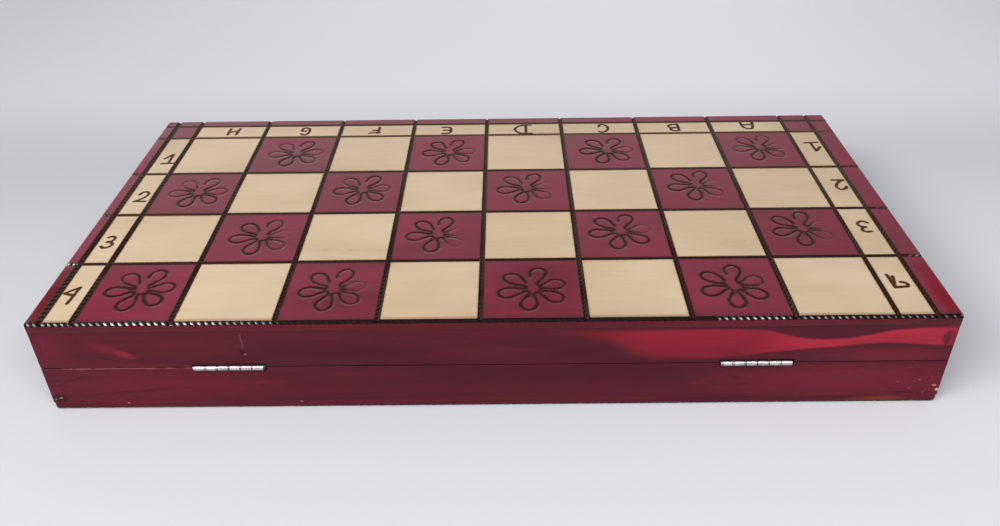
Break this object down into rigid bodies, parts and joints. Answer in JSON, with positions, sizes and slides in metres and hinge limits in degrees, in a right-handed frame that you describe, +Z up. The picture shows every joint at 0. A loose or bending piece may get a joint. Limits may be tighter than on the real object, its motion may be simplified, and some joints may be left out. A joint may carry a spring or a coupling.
{
  "type": "folding chessboard box",
  "caption": "Folding wooden chess box, closed: two shallow hinged trays whose outer faces are the halves of the board, with butt hinges and swing hooks.",
  "frame": {"origin": "bottom centre of the closed box with its metalwork, on the surface it lies on", "axes": "+X along the length, +Y from the hinge side to the latch side, +Z up"},
  "size_m": [0.382, 0.1974, 0.047],
  "materials": {
    "playing_panel": "pale wood, stained burgundy in squares and borders, with burnt grooves, semi-gloss lacquer",
    "rail": "burgundy stain, semi-gloss lacquer outside, bare inside",
    "hinge": "bright nickel plate",
    "hinge_pin": "bright steel wire",
    "hook": "bright nickel plate",
    "screw": "bright zinc plate"
  },
  "bodies": {
    "lower_half": {"lower_playing_panel": "playing_panel", "lower_hinge_rail": "rail", "lower_latch_rail": "rail", "lower_left_rail": "rail", "lower_right_rail": "rail", "left_hinge_lower_leaf": "hinge", "right_hinge_lower_leaf": "hinge", "left_hinge_pin": "hinge_pin", "right_hinge_pin": "hinge_pin", "left_hinge_lower_screws": "screw", "right_hinge_lower_screws": "screw", "left_catch_screw": "screw", "right_catch_screw": "screw"},
    "upper_half": {"upper_playing_panel": "playing_panel", "upper_hinge_rail": "rail", "upper_latch_rail": "rail", "upper_left_rail": "rail", "upper_right_rail": "rail", "left_hinge_upper_leaf": "hinge", "right_hinge_upper_leaf": "hinge", "left_hinge_upper_screws": "screw", "right_hinge_upper_screws": "screw", "left_hook_screw": "screw", "right_hook_screw": "screw"},
    "left_hook": {"left_hook": "hook"},
    "right_hook": {"right_hook": "hook"}
  },
  "joints": [
    {"name": "lid_hinge", "type": "hinge", "parent": "lower_half", "child": "upper_half", "pos_m": [0, -0.09742, 0.0235], "axis": [1, 0, 0], "range_deg": [0, 180]},
    {"name": "left_hook_swing", "type": "hinge", "parent": "upper_half", "child": "left_hook", "pos_m": [-0.11005, 0.09663, 0.0335], "axis": [0, 1, 0], "range_deg": [-20, 90]},
    {"name": "right_hook_swing", "type": "hinge", "parent": "upper_half", "child": "right_hook", "pos_m": [0.11005, 0.09663, 0.0335], "axis": [0, 1, 0], "range_deg": [-20, 90]}
  ]
}
